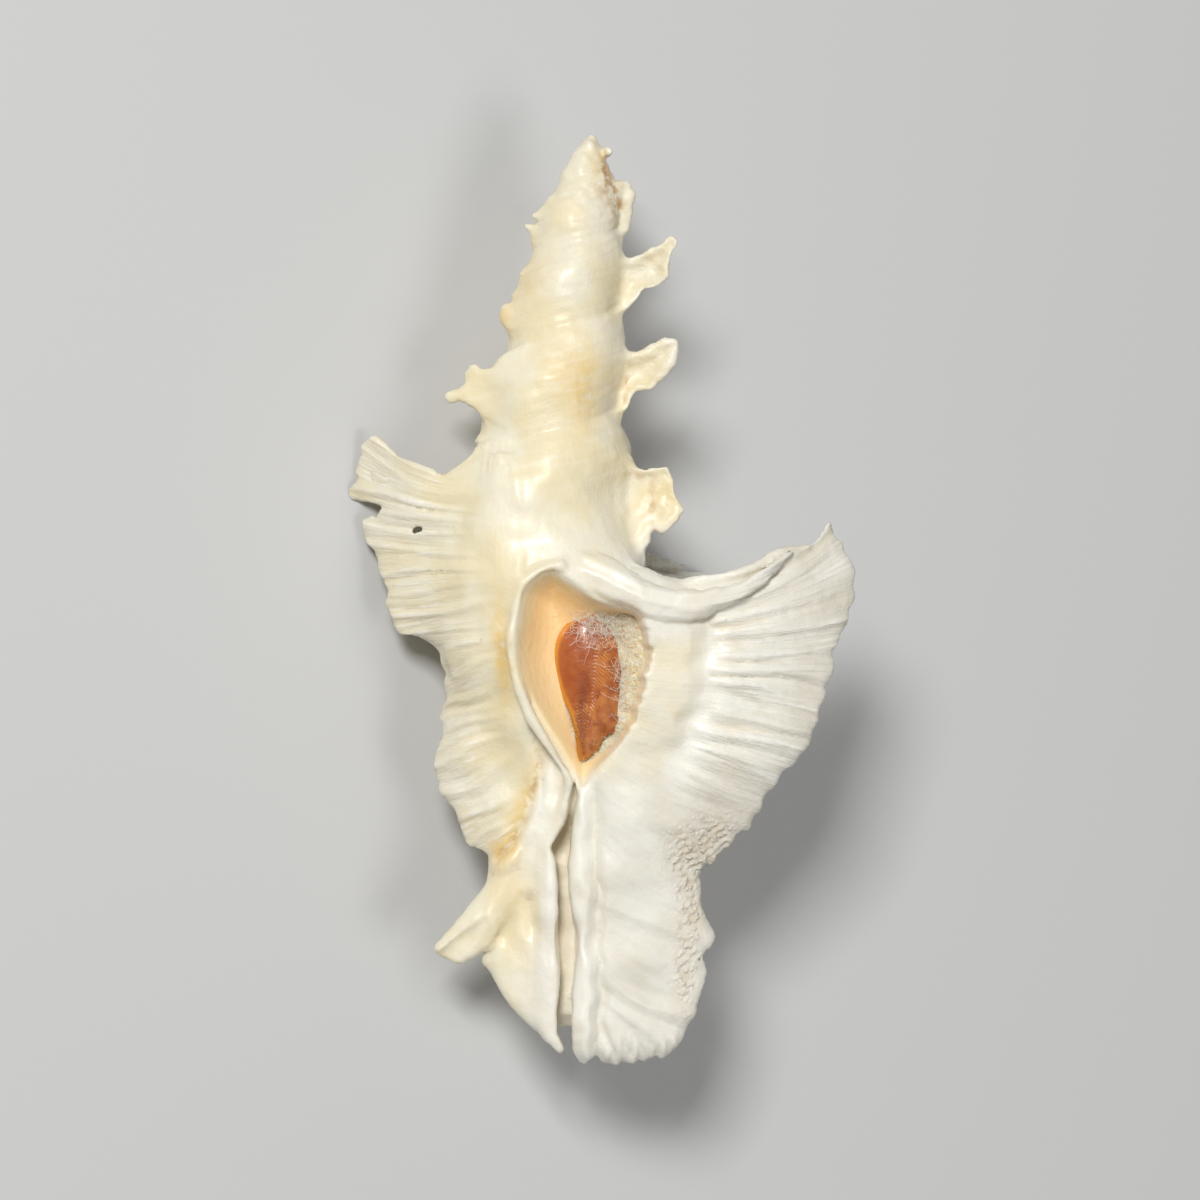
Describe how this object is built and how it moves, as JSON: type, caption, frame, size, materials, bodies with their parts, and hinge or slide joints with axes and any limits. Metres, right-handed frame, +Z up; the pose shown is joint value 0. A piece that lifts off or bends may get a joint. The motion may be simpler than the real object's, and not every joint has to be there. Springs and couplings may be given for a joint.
{
  "type": "murex seashell",
  "caption": "Long-spired murex seashell with broad fluted wings, a folded lip and an open canal, lying on its back and left wings with its horny lid set in the mouth",
  "frame": {"origin": "middle of the footprint's bounding box, on the surface the shell lies on", "axes": "+Y along the shell towards the tip of the spire, +Z up, +X towards the outer lip's wing; the mouth faces up and to -X"},
  "size_m": [0.0368, 0.0802, 0.0247],
  "materials": {
    "shell": "cream-white limy shell, satin with a porcelain gloss on the lip and chalky on the spines",
    "operculum": "glossy amber-brown horn with fine growth lines",
    "cotton_wool": "matt cream cotton fibres"
  },
  "bodies": {
    "root": {"shell": "shell", "operculum": "operculum", "cotton_wool": "cotton_wool"}
  },
  "joints": []
}
